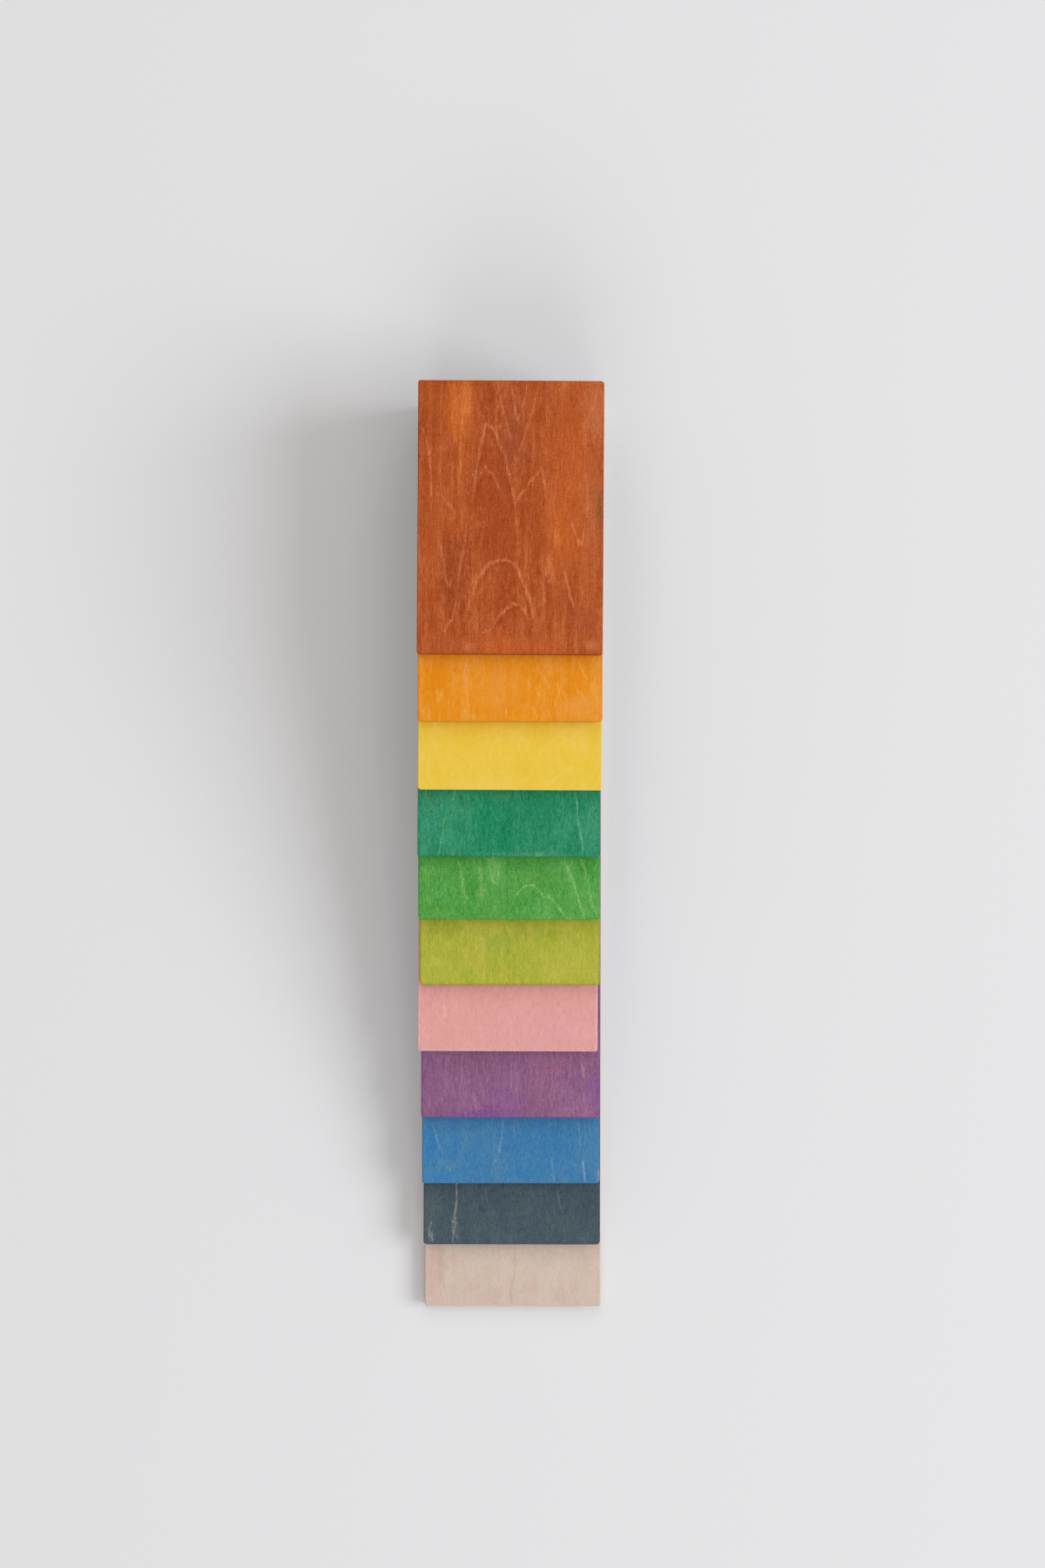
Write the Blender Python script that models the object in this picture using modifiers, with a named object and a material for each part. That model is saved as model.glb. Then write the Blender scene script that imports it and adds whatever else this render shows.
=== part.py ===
"""Step block: loose plywood boards stacked as a flight of steps.

The boards share one width and one thickness. Each is one step shorter than the board it lies on, and the back
ends stand about in line, so the front ends make the stair. Nothing fastens them: every board rests flat on the
one below, lies a little out of line as a hand left it, and lifts straight off.

Units are metres. +Z is up, +X runs across the boards and the steps go down towards -Y. The origin is on the
ground, under the middle of the stack.
"""

import math
from dataclasses import dataclass

import bmesh
import bpy

# Sizes that drive the model.
BOARD_WIDTH = 0.068
BOARD_THICKNESS = 0.0065
SHORTEST_LENGTH = 0.100
STEP_DEPTH = 0.025
# Sanded corners as seen from above, and the eased edges all round both faces.
CORNER_RADIUS = 0.0015
EDGE_RADIUS = 0.0008
# Air left between two boards that rest on each other.
REST_GAP = 0.0003

# Facets in each rounded corner and in each eased edge.
CORNER_SEGMENTS = 4
EDGE_SEGMENTS = 3

# Matt stained wood, and bare sanded wood a little drier.
STAINED_ROUGHNESS = 0.6
BARE_ROUGHNESS = 0.7

MM = 0.001


@dataclass(frozen=True)
class Board:
    """One board of the stack.

    colour is red, green and blue from 0 to 255 as they look on a screen. shift and slip are how far the board
    lies to the right of and behind its true place, in millimetres, and twist is its turn in degrees.
    """

    name: str
    colour: tuple[int, int, int]
    roughness: float
    shift: float
    slip: float
    twist: float


# From the ground up.
BOARDS = (
    Board("natural_board", (205, 185, 171), BARE_ROUGHNESS, 0.9, -0.7, -0.1),
    Board("slate_board", (74, 88, 95), STAINED_ROUGHNESS, 0.6, -0.8, -0.1),
    Board("blue_board", (71, 123, 165), STAINED_ROUGHNESS, 0.0, -1.4, 0.0),
    Board("purple_board", (139, 95, 130), STAINED_ROUGHNESS, 0.3, -0.5, -0.2),
    Board("pink_board", (221, 159, 154), STAINED_ROUGHNESS, -0.7, 0.4, -0.2),
    Board("lime_board", (169, 171, 65), STAINED_ROUGHNESS, -0.35, 0.8, 0.0),
    Board("green_board", (86, 155, 74), STAINED_ROUGHNESS, -0.4, 0.8, -0.1),
    Board("emerald_board", (48, 135, 96), STAINED_ROUGHNESS, -0.2, -0.5, -0.3),
    Board("yellow_board", (232, 195, 70), STAINED_ROUGHNESS, 0.1, -0.7, -0.3),
    Board("orange_board", (226, 142, 39), STAINED_ROUGHNESS, 0.0, -0.5, -0.1),
    Board("terracotta_board", (176, 86, 44), STAINED_ROUGHNESS, 0.1, -1.1, -0.35),
)


def clear_scene():
    """Remove every object the scene starts with."""
    for obj in list(bpy.data.objects):
        bpy.data.objects.remove(obj, do_unlink=True)


def linear(channel):
    """Turn one screen colour channel, 0 to 255, into a linear value."""
    value = channel / 255.0
    if value <= 0.04045:
        return value / 12.92
    return ((value + 0.055) / 1.055) ** 2.4


def make_material(board):
    """Make the board's own stained or bare wood."""
    material = bpy.data.materials.new(board.name)
    material.use_nodes = True
    shader = material.node_tree.nodes["Principled BSDF"]
    red, green, blue = (linear(channel) for channel in board.colour)
    shader.inputs["Base Color"].default_value = (red, green, blue, 1.0)
    shader.inputs["Roughness"].default_value = board.roughness
    shader.inputs["Metallic"].default_value = 0.0
    return material


def make_blank(name, length):
    """Make a square-edged blank centred on its own origin, its four upright edges marked for rounding."""
    mesh = bpy.data.meshes.new(name)
    blank = bmesh.new()
    bmesh.ops.create_cube(blank, size=1.0)
    bmesh.ops.scale(blank, vec=(BOARD_WIDTH, length, BOARD_THICKNESS), verts=blank.verts)
    weight = blank.edges.layers.float.new("bevel_weight_edge")
    for edge in blank.edges:
        low, high = sorted(vertex.co.z for vertex in edge.verts)
        edge[weight] = 1.0 if high - low > 0.5 * BOARD_THICKNESS else 0.0
    blank.to_mesh(mesh)
    blank.free()
    mesh.shade_smooth()
    return mesh


def sand(obj):
    """Round the upright corners, then ease the edges of both faces."""
    corners = obj.modifiers.new("round_corners", "BEVEL")
    corners.limit_method = "WEIGHT"
    corners.width = CORNER_RADIUS
    corners.segments = CORNER_SEGMENTS

    edges = obj.modifiers.new("ease_edges", "BEVEL")
    edges.limit_method = "ANGLE"
    edges.angle_limit = math.radians(60.0)
    edges.width = min(EDGE_RADIUS, 0.8 * CORNER_RADIUS, 0.4 * BOARD_THICKNESS)
    edges.segments = EDGE_SEGMENTS
    edges.harden_normals = True


def main():
    """Build the boards from the ground up under one empty."""
    clear_scene()
    collection = bpy.data.collections.new("step_block")
    bpy.context.scene.collection.children.link(collection)
    stack = bpy.data.objects.new("stack", None)
    collection.objects.link(stack)

    steps = len(BOARDS) - 1
    back = (SHORTEST_LENGTH + STEP_DEPTH * steps) / 2.0
    for level, board in enumerate(BOARDS):
        length = SHORTEST_LENGTH + STEP_DEPTH * (steps - level)
        obj = bpy.data.objects.new(board.name, make_blank(board.name, length))
        collection.objects.link(obj)
        obj.data.materials.append(make_material(board))
        sand(obj)
        obj.parent = stack
        obj.location.x = board.shift * MM
        obj.location.y = back - length / 2.0 + board.slip * MM
        obj.location.z = level * (BOARD_THICKNESS + REST_GAP) + BOARD_THICKNESS / 2.0
        obj.rotation_euler.z = math.radians(board.twist)


main()
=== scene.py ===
"""Step block: loose stained plywood boards stacked as a flight of steps, on a pale floor.

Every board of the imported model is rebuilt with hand-sanded edges and dressed in rotary-cut birch veneer:
fine fibre, clouds and bands where the stain took unevenly, the growth lines, streaks and patches that its
open face shows, plainer growth lines where it is covered, and the plies on its edges. Sizes and places come
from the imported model. Materials and marks are measured in millimetres on the board, across, along and up
from the middle of its front end, as are names that end in _mm. All other lengths are metres.
"""

import logging  # noqa: E402
import math  # noqa: E402
from abc import ABC, abstractmethod  # noqa: E402
from dataclasses import dataclass, field  # noqa: E402
from enum import Enum  # noqa: E402

import bpy  # noqa: E402
import numpy as np  # noqa: E402
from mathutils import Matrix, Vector  # noqa: E402


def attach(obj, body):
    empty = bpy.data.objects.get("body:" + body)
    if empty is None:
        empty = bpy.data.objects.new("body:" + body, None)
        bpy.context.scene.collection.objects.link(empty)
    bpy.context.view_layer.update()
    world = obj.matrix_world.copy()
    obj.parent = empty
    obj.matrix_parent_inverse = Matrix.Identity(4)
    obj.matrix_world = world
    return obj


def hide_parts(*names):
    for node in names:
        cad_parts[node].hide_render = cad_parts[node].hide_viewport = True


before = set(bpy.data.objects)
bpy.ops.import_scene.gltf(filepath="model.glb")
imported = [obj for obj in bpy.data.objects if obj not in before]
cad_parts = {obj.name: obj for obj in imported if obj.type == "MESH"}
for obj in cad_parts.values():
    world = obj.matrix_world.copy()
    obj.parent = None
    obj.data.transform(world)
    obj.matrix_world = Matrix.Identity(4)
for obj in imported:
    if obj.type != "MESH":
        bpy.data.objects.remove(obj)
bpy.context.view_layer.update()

log = logging.getLogger("step_block")

MM = 0.001
# What the sanded wood's faint sheen adds to every colour under plain light, and the darkest that a stain
# gets.
WOOD_SHEEN = 0.0092
DARKEST_STAIN = 0.002
# The steps of the screen's scale, and the power between a linear colour and that scale.
SCREEN_STEPS = 255.0
SCREEN_GAMMA = 2.2
# How far apart in the noise two boards with neighbouring seeds lie.
SEED_STEP_MM = (37.0, 211.0, 17.0)
# What acts across the board, along it, or on its flat alone.
ACROSS = (1.0, 0.0, 0.0)
ALONG = (0.0, 1.0, 0.0)
FLAT = (1.0, 1.0, 0.0)

Socket = bpy.types.NodeSocket
Tree = bpy.types.NodeTree
Colour = tuple[int, int, int]
Linear = tuple[float, float, float, float]
Point = tuple[float, float]
Triple = tuple[float, float, float]


class Kind(Enum):
    """The kinds of socket that a node group can have, by the names that sockets give them."""

    VALUE = "NodeSocketFloat"
    VECTOR = "NodeSocketVector"
    RGBA = "NodeSocketColor"


class Half(Enum):
    """The two halves of a board's skin, above and below the middle of its thickness."""

    UPPER = 1.0
    LOWER = -1.0


def linear(colour: Colour, sheen: float = 0.0) -> Linear:
    """Turn a screen colour into the linear one that shaders use.

    The screen's curve is straight in its darkest part and a power above it.

    Args:
        colour: red, green and blue from 0 to 255, as they look on a screen.
        sheen: the white that the surface's own sheen will add, taken off here.

    Returns:
        Linear red, green and blue with a full alpha.
    """
    share = np.array(colour, float) / SCREEN_STEPS
    value = np.where(share <= 0.04045, share / 12.92, ((share + 0.055) / 1.055) ** 2.4)
    red, green, blue = np.maximum(value - sheen, DARKEST_STAIN).tolist()
    return (red, green, blue, 1.0)


def stain(colour: Colour) -> Linear:
    """The linear colour of stained wood that looks like this colour with its sheen on."""
    return linear(colour, WOOD_SHEEN)


def level(point: Point, origin: Point = (0.0, 0.0)) -> Triple:
    """The way from an origin to a point of the board's face, with no height."""
    return (point[0] - origin[0], point[1] - origin[1], 0.0)


def lattice_faces(shape: tuple[int, int], first: int = 0) -> np.ndarray:
    """The four-sided faces of a lattice, wound so that they look up.

    Args:
        shape: the lattice's two counts.
        first: the index of its first point.

    Returns:
        One row of four point indices for each face.
    """
    index = first + np.arange(shape[0] * shape[1]).reshape(shape)
    return np.stack((index[:-1, :-1], index[1:, :-1], index[1:, 1:], index[:-1, 1:]), axis=-1).reshape(-1, 4)


@dataclass(frozen=True)
class Wire:
    """What a node puts out. The signs of arithmetic lead it through a maths node."""

    graph: "Graph"
    socket: Socket

    def __add__(self, other: "Source") -> "Wire":
        """The sum of two sources."""
        return self.graph.maths("ADD", self, other)

    def __sub__(self, other: "Source") -> "Wire":
        """This source less another."""
        return self.graph.maths("SUBTRACT", self, other)

    def __rsub__(self, other: "Source") -> "Wire":
        """Another source less this one."""
        return self.graph.maths("SUBTRACT", other, self)

    def __mul__(self, other: "Source") -> "Wire":
        """The product of two sources."""
        return self.graph.maths("MULTIPLY", self, other)

    def __truediv__(self, other: "Source") -> "Wire":
        """This source over another."""
        return self.graph.maths("DIVIDE", self, other)

    def __abs__(self) -> "Wire":
        """This number without its sign."""
        return self.graph.maths("ABSOLUTE", self)


Source = Wire | float | tuple[float, ...]


class Graph:
    """A node tree that is being wired, with short calls for the nodes that wood needs."""

    # Where a Mix node has its colours.
    MIX_FIRST, MIX_SECOND, MIX_RESULT = 6, 7, 2

    def __init__(self, tree: Tree) -> None:
        """Hold the tree to wire."""
        self.tree = tree

    @classmethod
    def group(cls, name: str, **inputs: Kind) -> tuple["Graph", dict[str, Wire]]:
        """Open a new node group.

        Args:
            name: the group's name.
            inputs: its inputs and their kinds.

        Returns:
            The graph to wire, and what comes in, by name.
        """
        graph = cls(bpy.data.node_groups.new(name, "ShaderNodeTree"))
        for label, kind in inputs.items():
            graph.tree.interface.new_socket(label, in_out="INPUT", socket_type=kind.value)
        entry = graph.add("NodeGroupInput")
        return graph, {label: Wire(graph, entry.outputs[label]) for label in inputs}

    def give(self, **outputs: Wire) -> Tree:
        """Close a node group.

        Args:
            outputs: what it puts out, by name.

        Returns:
            The finished group.
        """
        for label, wire in outputs.items():
            kind = Kind[wire.socket.type]
            self.tree.interface.new_socket(label, in_out="OUTPUT", socket_type=kind.value)
        leave = self.add("NodeGroupOutput")
        for label, wire in outputs.items():
            self.feed(leave.inputs[label], wire)
        return self.tree

    def add(self, kind: str, **settings: object) -> bpy.types.Node:
        """Add one node.

        Args:
            kind: the node's type name.
            settings: properties to set on it.

        Returns:
            The new node.
        """
        node = self.tree.nodes.new(kind)
        for name, value in settings.items():
            setattr(node, name, value)
        return node

    def feed(self, socket: Socket, source: Source) -> None:
        """Lead a wire to a socket, or give it a plain value."""
        if isinstance(source, Wire):
            self.tree.links.new(source.socket, socket)
        else:
            socket.default_value = source

    def fill(self, node: bpy.types.Node, **inputs: Source) -> dict[str, Wire]:
        """Feed a node by the names of its sockets.

        Args:
            node: the node.
            inputs: what feeds its inputs, by name, with _ for a space.

        Returns:
            What it puts out, by name.
        """
        for name, source in inputs.items():
            self.feed(node.inputs[name.replace("_", " ")], source)
        return {socket.name: Wire(self, socket) for socket in node.outputs}

    def maths(self, operation: str, *values: Source) -> Wire:
        """Work out a number, or a vector where any of the values is one.

        A wired number beside a vector counts for each of its parts.

        Args:
            operation: the maths node's operation.
            values: its inputs.

        Returns:
            The answer.
        """
        vector = any(self._is_vector(value) for value in values)
        node = self.add("ShaderNodeVectorMath" if vector else "ShaderNodeMath", operation=operation)
        for socket, value in zip(node.inputs, values):
            self.feed(socket, value)
        number = not vector or operation in ("DOT_PRODUCT", "LENGTH")
        return Wire(self, node.outputs["Value" if number else "Vector"])

    def scale(self, vector: Source, number: Source) -> Wire:
        """Make a vector so many times as long."""
        node = self.add("ShaderNodeVectorMath", operation="SCALE")
        return self.fill(node, Vector=vector, Scale=number)["Vector"]

    @staticmethod
    def _is_vector(source: Source) -> bool:
        """Whether a source is a vector or a colour, and not one number."""
        if isinstance(source, Wire):
            return source.socket.type != Kind.VALUE.name
        return isinstance(source, tuple)

    def limit(self, value: Wire) -> Wire:
        """Hold a number between 0 and 1."""
        return self.fill(self.add("ShaderNodeClamp"), Value=value)["Result"]

    def noise(self, place: Source, size_mm: Source, detail: float = 2.0, rough: float = 0.5) -> Wire:
        """Lay soft noise whose features have one size along each axis.

        Args:
            place: where on the board.
            size_mm: the features' size across, along and through the board.
            detail: how many finer layers are added.
            rough: how strong the finer layers are.

        Returns:
            The noise, about 0.5 on average.
        """
        spot = self.maths("DIVIDE", place, size_mm)
        node = self.add("ShaderNodeTexNoise")
        return self.fill(node, Vector=spot, Scale=1.0, Detail=detail, Roughness=rough)["Fac"]

    def swing(self, place: Source, size_mm: Source, detail: float = 2.0, rough: float = 0.5) -> Wire:
        """Lay the same noise about 0, mostly from -0.5 to 0.5."""
        return self.noise(place, size_mm, detail, rough) - 0.5

    def ease(self, value: Source, low: Source, high: Source) -> Wire:
        """Rise smoothly from 0 where the value is low to 1 where it is high."""
        node = self.add("ShaderNodeMapRange", interpolation_type="SMOOTHSTEP")
        return self.fill(node, Value=value, From_Min=low, From_Max=high)["Result"]

    def mix(self, share: Source, first: Source, second: Source) -> Wire:
        """Blend two colours.

        Args:
            share: how much of the second one shows.
            first: the colour at a share of 0.
            second: the colour at a share of 1.

        Returns:
            The blended colour.
        """
        node = self.add("ShaderNodeMix", data_type="RGBA")
        self.feed(node.inputs[0], share)
        self.feed(node.inputs[self.MIX_FIRST], first)
        self.feed(node.inputs[self.MIX_SECOND], second)
        return Wire(self, node.outputs[self.MIX_RESULT])

    def gamma(self, colour: Source, power: float) -> Wire:
        """Raise each part of a colour to a power."""
        return self.fill(self.add("ShaderNodeGamma"), Color=colour, Gamma=power)["Color"]

    def split(self, vector: Wire) -> tuple[Wire, ...]:
        """Take a vector apart into its three numbers."""
        return tuple(self.fill(self.add("ShaderNodeSeparateXYZ"), Vector=vector).values())

    def place(self, group: Tree, **inputs: Source) -> dict[str, Wire]:
        """Put a shared group into this tree, fed by name. What it puts out comes back by name."""
        return self.fill(self.add("ShaderNodeGroup", node_tree=group), **inputs)


class WoodEffects:
    """The shared wood effects, each a node group built once."""

    def __init__(self) -> None:
        """Build all groups."""
        self.fibre = self._fibre()
        self.toned = self._toned()
        self.cloud = self._cloud()
        self.ragged = self._ragged()
        self.rings = self._rings()
        self.arch = self._arch()
        self.streak = self._streak()
        self.patch = self._patch()
        self.rim = self._rim()
        self.plies = self._plies()

    def _fibre(self) -> Tree:
        """Fine lengthwise fibre: hair lines, short flecks and sparse dark pores in one value.

        Returns:
            The group, with Fibre around 0 and mostly from -1 to 1.
        """
        drift_mm, drift_pull = (9.0, 26.0, 9.0), (3.0, 0.0, 0.0)
        fleck_mm, pore_mm = (0.45, 0.6, 0.45), (0.3, 2.6, 0.3)
        hair_weight, fleck_weight, pore_weight = 5.0, 4.0, 0.8
        pore_low, pore_high = 0.6, 0.8
        graph, read = Graph.group("wood_fibre", Place=Kind.VECTOR, Grain=Kind.VECTOR)
        place = read["Place"]
        drift = graph.swing(place, drift_mm, detail=1.0)
        hair = graph.swing(place + graph.scale(drift_pull, drift), read["Grain"], rough=0.65)
        fleck = graph.swing(place, fleck_mm, detail=1.0, rough=0.6)
        pore = graph.ease(graph.noise(place, pore_mm, detail=0.0), pore_low, pore_high)
        return graph.give(Fibre=hair * hair_weight + fleck * fleck_weight - pore * pore_weight)

    def _toned(self) -> Tree:
        """A colour lightened and darkened by the fibre, and drifting a little between warm and cool.

        The colour is taken to the screen's scale. The fibre times Strength, and Warmth times a step from blue
        to red, both in screen levels, are added, and the sum is taken back.

        Returns:
            The group, with Colour.
        """
        warm_step, darkest = (0.6, -0.1, -0.8), (0.02, 0.02, 0.02)
        graph, read = Graph.group("fibre_tone", Colour=Kind.RGBA, Fibre=Kind.VALUE, Strength=Kind.VALUE,
                                  Warmth=Kind.VALUE)
        swing = read["Fibre"] * (read["Strength"] / SCREEN_STEPS)
        drift = graph.scale(warm_step, read["Warmth"] / SCREEN_STEPS)
        shown = graph.gamma(read["Colour"], 1.0 / SCREEN_GAMMA) + swing + drift
        return graph.give(Colour=graph.gamma(graph.maths("MAXIMUM", shown, darkest), SCREEN_GAMMA))

    def _cloud(self) -> Tree:
        """Uneven take-up of the stain: broad clouds, small mottles, bands along the grain and a drift of hue.

        Returns:
            The group, with Cloud, Mottle, Band and Warm from -1 to 1.
        """
        sizes_mm = {"Cloud": (10.0, 16.0, 10.0), "Mottle": (1.6, 3.0, 1.6), "Band": (2.6, 40.0, 2.6),
                    "Warm": (2.1, 4.6, 2.1)}
        details = {"Cloud": 2.0, "Mottle": 2.0, "Band": 3.0, "Warm": 2.0}
        rough, weight = 0.55, 4.0
        graph, read = Graph.group("stain_cloud", Place=Kind.VECTOR)
        fields = {name: graph.swing(read["Place"], size_mm, details[name], rough) * weight
                  for name, size_mm in sizes_mm.items()}
        return graph.give(**fields)

    def _ragged(self) -> Tree:
        """The place on the board, pulled about as the fibre pulls a growth line.

        Along the grain the pull changes from fibre to fibre, which gives a line that crosses the grain ragged
        teeth and leaves one that runs with it clean. Across the grain it changes slowly, which makes lines
        sway. Broken comes and goes along any line.

        Returns:
            The group, with Place in millimetres and Broken from 0 to 1.
        """
        sway_mm, gap_mm = (6.0, 9.0, 6.0), (2.5, 5.0, 2.5)
        gap_low, gap_high, faintest = 0.2, 0.62, 0.3
        graph, read = Graph.group("ragged_place", Place=Kind.VECTOR, Chance=Kind.VECTOR, Tooth=Kind.VECTOR,
                                  Teeth=Kind.VALUE, Sway=Kind.VALUE)
        chance = read["Chance"]
        sway = graph.swing(chance, sway_mm, detail=1.0) * read["Sway"]
        teeth = graph.swing(chance, read["Tooth"], detail=1.0) * read["Teeth"]
        whole = graph.ease(graph.noise(chance, gap_mm, detail=1.0), gap_low, gap_high)
        pull = graph.scale(ACROSS, sway) + graph.scale(ALONG, teeth)
        return graph.give(Place=read["Place"] + pull, Broken=whole * (1.0 - faintest) + faintest)

    def _rings(self) -> Tree:
        """Growth lines on the face below and where another board covers the one above.

        They are the level lines of a low landscape of soft noise, stretched along the grain. Its slope, read
        a step aside in both directions, turns the height from the nearest level into a distance, so that a
        line keeps its width. Open is how far from the front end the upper face has marks of its own instead.

        Returns:
            The group, with Line from 0 to 1.
        """
        hills_mm, rough, levels = (19.0, 80.0, 19.0), 0.4, 7.0
        aside, ahead, least_slope, border = 0.4, 1.6, 0.004, 6.0
        graph, read = Graph.group("growth_rings", Place=Kind.VECTOR, Chance=Kind.VECTOR, Open=Kind.VALUE,
                                  Width=Kind.VALUE)
        chance = read["Chance"]
        height, beside, beyond = (graph.noise(spot, hills_mm, detail=1.0, rough=rough) for spot in
                                  (chance, chance + (aside, 0.0, 0.0), chance + (0.0, ahead, 0.0)))
        rise = (beside - height) / aside
        climb = (beyond - height) / ahead
        slope = graph.maths("MAXIMUM", graph.maths("SQRT", rise * rise + climb * climb), least_slope)
        over = abs(graph.maths("FRACT", height * levels) - 0.5)
        line = graph.ease(over / (slope * levels), read["Width"], 0.0)
        _, along, up = graph.split(read["Place"])
        covered = graph.ease(along, read["Open"], read["Open"] + border)
        covered = graph.maths("MAXIMUM", covered, graph.maths("LESS_THAN", up, 0.0))
        return graph.give(Line=line * covered)

    def _arch(self) -> Tree:
        """One growth line that comes to a peak: an arch, or with feet above its apex a valley.

        Left and Right are the ways from the apex to the feet. Each leg leaves the apex sideways and falls as
        a power of the distance: the fall of the leg times the share of its span to the power Bend. The
        distance from the line is the height above the leg over the length of the leg's slope. The line fades
        out at its feet. Shade is 1 just inside the arch and runs out over Depth.

        Returns:
            The group, with Line and Shade from 0 to 1.
        """
        least_across, faded, full = 0.05, 1.05, 0.75
        shade_low, shade_high = -0.2, 0.4
        graph, read = Graph.group("growth_arch", Place=Kind.VECTOR, Apex=Kind.VECTOR, Left=Kind.VECTOR,
                                  Right=Kind.VECTOR, Bend=Kind.VALUE, Width=Kind.VALUE, Depth=Kind.VALUE)
        across, along, _ = graph.split(read["Place"] - read["Apex"])
        on_right = graph.maths("GREATER_THAN", across, 0.0)
        span, fall, _ = graph.split(read["Left"] + graph.scale(read["Right"] - read["Left"], on_right))
        share = abs(across) / abs(span)
        drop = fall * graph.maths("POWER", share, read["Bend"])
        slope = drop * read["Bend"] / graph.maths("MAXIMUM", abs(across), least_across)
        gap = (along - drop) / graph.maths("SQRT", slope * slope + 1.0)
        fade = graph.ease(share, faded, full)
        line = graph.ease(abs(gap), read["Width"], 0.0)
        inward = gap * graph.maths("SIGN", fall)
        shade = graph.ease(inward, shade_low, shade_high) * graph.ease(inward, read["Depth"], 0.0)
        return graph.give(Line=line * fade, Shade=shade * fade)

    def _streak(self) -> Tree:
        """One straight run of a streak, which is full in its middle and tapers towards its two ends.

        The nearest point of the run gives the distance, which is measured against the width there. From is
        the share of the whole streak that lies before the run, and Span the run's own share.

        Returns:
            The group, with Mask from 0 to 1.
        """
        fullness, thinnest = 1.8, 0.35
        graph, read = Graph.group("grain_streak", Place=Kind.VECTOR, Start=Kind.VECTOR, Run=Kind.VECTOR,
                                  From=Kind.VALUE, Span=Kind.VALUE, Width=Kind.VALUE)
        run = read["Run"]
        offset = (read["Place"] - read["Start"]) * FLAT
        share = graph.limit(graph.maths("DOT_PRODUCT", offset, run) / graph.maths("DOT_PRODUCT", run, run))
        gap = graph.maths("LENGTH", offset - graph.scale(run, share))
        whole = share * read["Span"] + read["From"]
        swell = graph.limit(graph.maths("SINE", whole * math.pi) * fullness)
        half = read["Width"] * (swell * (1.0 - thinnest) + thinnest)
        return graph.give(Mask=graph.ease(gap, half, 0.0))

    def _patch(self) -> Tree:
        """One soft oval patch whose edge wanders with the stain.

        The distance from the centre is measured in radii, and Uneven moves it in and out.

        Returns:
            The group, with Mask from 0 to 1.
        """
        wander, border, core = 0.35, 1.15, 0.2
        graph, read = Graph.group("stain_patch", Place=Kind.VECTOR, Centre=Kind.VECTOR, Radii=Kind.VECTOR,
                                  Uneven=Kind.VALUE)
        offset = (read["Place"] - read["Centre"]) / read["Radii"] * FLAT
        away = read["Uneven"] * wander + graph.maths("LENGTH", offset)
        return graph.give(Mask=graph.ease(away, border, core))

    def _rim(self) -> Tree:
        """How near a point is to the board's outline, and which of the board's faces it is on.

        Returns:
            The group, with Rim from 0 to 1 close to the outline, Side, 1 on the edge faces, and Top, 1 on the
            upper face.
        """
        waver, side_low, side_high = 0.5, 0.3, 0.7
        graph, read = Graph.group("board_rim", Place=Kind.VECTOR, Size=Kind.VECTOR, Reach=Kind.VALUE,
                                  Uneven=Kind.VALUE)
        across, along, up = graph.split(read["Place"])
        width, length, thick = graph.split(read["Size"])
        ahead = graph.maths("MINIMUM", along, length - along)
        inset = graph.maths("MINIMUM", width * 0.5 - abs(across), ahead)
        reach = read["Reach"] * (read["Uneven"] * waver + 1.0)
        return graph.give(Rim=graph.ease(inset, reach, 0.0),
                          Side=graph.ease(thick * 0.5 - abs(up), side_low, side_high),
                          Top=graph.maths("GREATER_THAN", up, 0.0))

    def _plies(self) -> Tree:
        """The plies on a board's edge: odd layers run along the board, even ones across it.

        Each layer is one fifth of the thickness. A thin glue line parts them. A layer that is cut across its
        fibre shows dark end grain.

        Returns:
            The group, with End from 0 to 1 on end grain, and Glue from 0 to 1.
        """
        layers, waver_mm, waver_share = 5.0, (30.0, 30.0, 30.0), 0.03
        pore_mm, pore_low, pore_high = (0.35, 0.35, 0.3), 0.15, 0.75
        flank_share, glue_low, glue_high = 0.985, 0.42, 0.5
        graph, read = Graph.group("ply_edge", Place=Kind.VECTOR, Size=Kind.VECTOR)
        place = read["Place"]
        across, _, up = graph.split(place)
        width, _, thick = graph.split(read["Size"])
        waver = graph.swing(place, waver_mm, detail=1.0) * waver_share
        layer = (up / thick + 0.5 + waver) * layers
        even = graph.maths("MODULO", graph.maths("FLOOR", layer), 2.0)
        flank = graph.maths("GREATER_THAN", abs(across) / (width * 0.5), flank_share)
        crossing = abs(1.0 - flank - even)
        pores = graph.ease(graph.noise(place, pore_mm, rough=0.6), pore_low, pore_high)
        edge = abs(graph.maths("FRACT", layer) - 0.5)
        return graph.give(End=crossing * pores, Glue=graph.ease(edge, glue_low, glue_high))


@dataclass(frozen=True)
class Finish:
    """A board's stain: its colours as they look on a screen, and how strongly each effect shows in it.

    fibre and warmth are in screen levels. end_grain and glue are how much of the plies shows on the edges,
    and glue_tone is the glue's share of the shade colour.
    """

    body: Colour
    shade: Colour
    pale: Colour
    line: Colour
    rim: Colour
    fibre: float
    cloud: float
    mottle: float
    band: float
    warmth: float
    grain_mm: Point = (0.42, 3.0)
    rim_share: float = 0.3
    rim_reach_mm: float = 1.0
    roughness: float = 0.66
    roughness_swing: float = 0.03
    gloss: float = 0.12
    bump: float = 0.25
    bump_mm: float = 0.05
    end_grain: float = 0.75
    glue: float = 0.5
    glue_tone: float = 0.7


@dataclass(frozen=True)
class Ground:
    """A board's face as its material's nodes know it: where a point is, and how fibre and stain vary there.

    Lines are laid at the ragged place and come and go with broken, scuffs show on flecks, and the edges of
    patches wander with uneven.
    """

    graph: Graph
    effects: WoodEffects
    finish: Finish
    place: Wire
    fibre: Wire
    cloud: dict[str, Wire]
    ragged: Wire
    broken: Wire
    flecks: Wire
    uneven: Wire


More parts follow.
